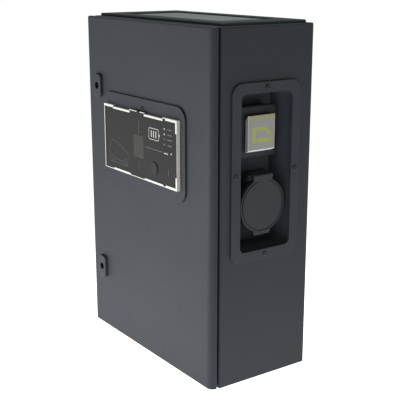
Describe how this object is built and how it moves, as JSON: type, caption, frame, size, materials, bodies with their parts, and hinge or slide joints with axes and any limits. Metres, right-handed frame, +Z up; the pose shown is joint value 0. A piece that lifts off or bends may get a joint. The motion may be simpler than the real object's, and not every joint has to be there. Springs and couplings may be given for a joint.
{
  "type": "ev wallbox",
  "caption": "Wall-mounted vehicle charging box: steel enclosure with hinged door, control panel, card reader and lidded charging socket in a side pocket.",
  "frame": {"origin": "centre of the four wall holes, on the enclosure's back face", "axes": "+X to the right seen from the front, +Y into the wall, +Z up"},
  "size_m": [0.4053, 0.2146, 0.6048],
  "materials": {
    "powder_coat": "fine-textured anthracite powder coat",
    "entry_grey": "pale grey coated sheet",
    "zinc_steel": "bright zinc plate",
    "black_rubber": "matt cellular rubber",
    "pocket_abs": "fine-grained anthracite moulding",
    "black_pa": "matt black glass-filled nylon",
    "lid_grey": "dark grey satin moulding",
    "reader_dark": "dark satin moulding",
    "reader_pale": "pale grey gloss moulding",
    "panel_pale": "white satin moulding",
    "panel_dark": "dark front foil",
    "button_dark": "dark soft-touch plastic",
    "clear_pipe": "clear moulded light pipe",
    "lock_black": "black-coated zinc casting",
    "dark_steel": "blackened steel",
    "contact_brass": "silver-flashed brass",
    "device_grey": "pale grey thermoset moulding",
    "device_dark": "black thermoset moulding",
    "handle_blue": "blue moulded handle",
    "board_green": "solder-masked circuit board",
    "duct_grey": "grey rigid vinyl",
    "terminal_beige": "beige polyamide"
  },
  "bodies": {
    "enclosure": {"enclosure_body": "powder_coat", "roof_frame": "powder_coat", "entry_plate": "entry_grey", "entry_gasket": "black_rubber", "entry_screws": "zinc_steel", "mounting_plate": "zinc_steel", "plate_studs": "zinc_steel", "plate_nuts": "zinc_steel", "earth_stud": "contact_brass", "hinge_brackets": "powder_coat", "pocket_tub": "pocket_abs", "pocket_gasket": "black_rubber", "pocket_screws": "dark_steel", "reader_box": "black_pa", "reader_frame": "reader_dark", "reader_insert": "reader_pale", "socket_housing": "black_pa", "socket_gasket": "black_rubber", "socket_screws": "dark_steel", "contact_carrier": "black_pa", "socket_contacts": "contact_brass", "lid_hinge_pin": "zinc_steel", "lid_spring": "zinc_steel", "lock_actuator": "black_pa", "din_rails": "zinc_steel", "residual_current_device": "device_grey", "circuit_breaker": "device_grey", "contactor": "device_dark", "charge_controller": "device_grey", "energy_meter": "device_grey", "power_supply": "device_dark", "terminal_blocks": "terminal_beige", "wiring_ducts": "duct_grey"},
    "door_leaf": {"door": "powder_coat", "door_gasket": "black_rubber", "hinge_lugs": "zinc_steel", "hinge_pins": "zinc_steel", "hmi_gasket": "black_rubber", "hmi_plate": "powder_coat", "hmi_screw": "dark_steel", "hmi_frame": "panel_pale", "hmi_panel": "panel_dark", "light_pipes": "clear_pipe", "hmi_rear_cover": "black_pa", "hmi_board": "board_green", "lock_nuts": "zinc_steel", "lock_housing_upper": "lock_black", "lock_housing_lower": "lock_black"},
    "upper_lock": {"lock_barrel_upper": "dark_steel", "lock_cam_upper": "zinc_steel"},
    "lower_lock": {"lock_barrel_lower": "dark_steel", "lock_cam_lower": "zinc_steel"},
    "socket_cover": {"socket_lid": "lid_grey", "lid_seal": "black_rubber"},
    "panel_button": {"hmi_button": "button_dark"},
    "plug_lock": {"locking_pin": "zinc_steel"},
    "rcd_handle": {"rcd_toggle": "handle_blue"},
    "test_button": {"rcd_test_button": "device_dark"},
    "breaker_handle": {"breaker_toggle": "device_dark"}
  },
  "joints": [
    {"name": "door_hinge", "type": "hinge", "parent": "enclosure", "child": "door_leaf", "pos_m": [0.1915, -0.1975, 0], "axis": [0, 0, 1], "range_deg": [0, 115]},
    {"name": "upper_lock_turn", "type": "hinge", "parent": "door_leaf", "child": "upper_lock", "pos_m": [-0.154, -0.204, 0.176], "axis": [0, 1, 0], "range_deg": [0, 90]},
    {"name": "lower_lock_turn", "type": "hinge", "parent": "door_leaf", "child": "lower_lock", "pos_m": [-0.154, -0.204, -0.176], "axis": [0, 1, 0], "range_deg": [0, 90]},
    {"name": "lid_hinge", "type": "hinge", "parent": "enclosure", "child": "socket_cover", "pos_m": [0.1853, -0.096, 0.053], "axis": [0, -1, 0], "range_deg": [0, 110], "stiffness_Nm_per_rad": 0.08, "springref_deg": -34.38},
    {"name": "panel_button_press", "type": "slide", "parent": "door_leaf", "child": "panel_button", "axis": [0, 1, 0], "range_m": [0, 0.0015], "stiffness_N_per_m": 800, "springref_m": -0.001},
    {"name": "plug_lock_slide", "type": "slide", "parent": "enclosure", "child": "plug_lock", "axis": [0, 0, -1], "range_m": [0, 0.006]},
    {"name": "rcd_toggle_tip", "type": "hinge", "parent": "enclosure", "child": "rcd_handle", "pos_m": [-0.121, -0.0775, 0.15], "axis": [1, 0, 0], "range_deg": [0, 70]},
    {"name": "test_button_press", "type": "slide", "parent": "enclosure", "child": "test_button", "axis": [0, 1, 0], "range_m": [0, 0.0015], "stiffness_N_per_m": 500, "springref_m": -0.001},
    {"name": "breaker_toggle_tip", "type": "hinge", "parent": "enclosure", "child": "breaker_handle", "pos_m": [-0.0385, -0.0775, 0.15], "axis": [1, 0, 0], "range_deg": [0, 70]}
  ]
}
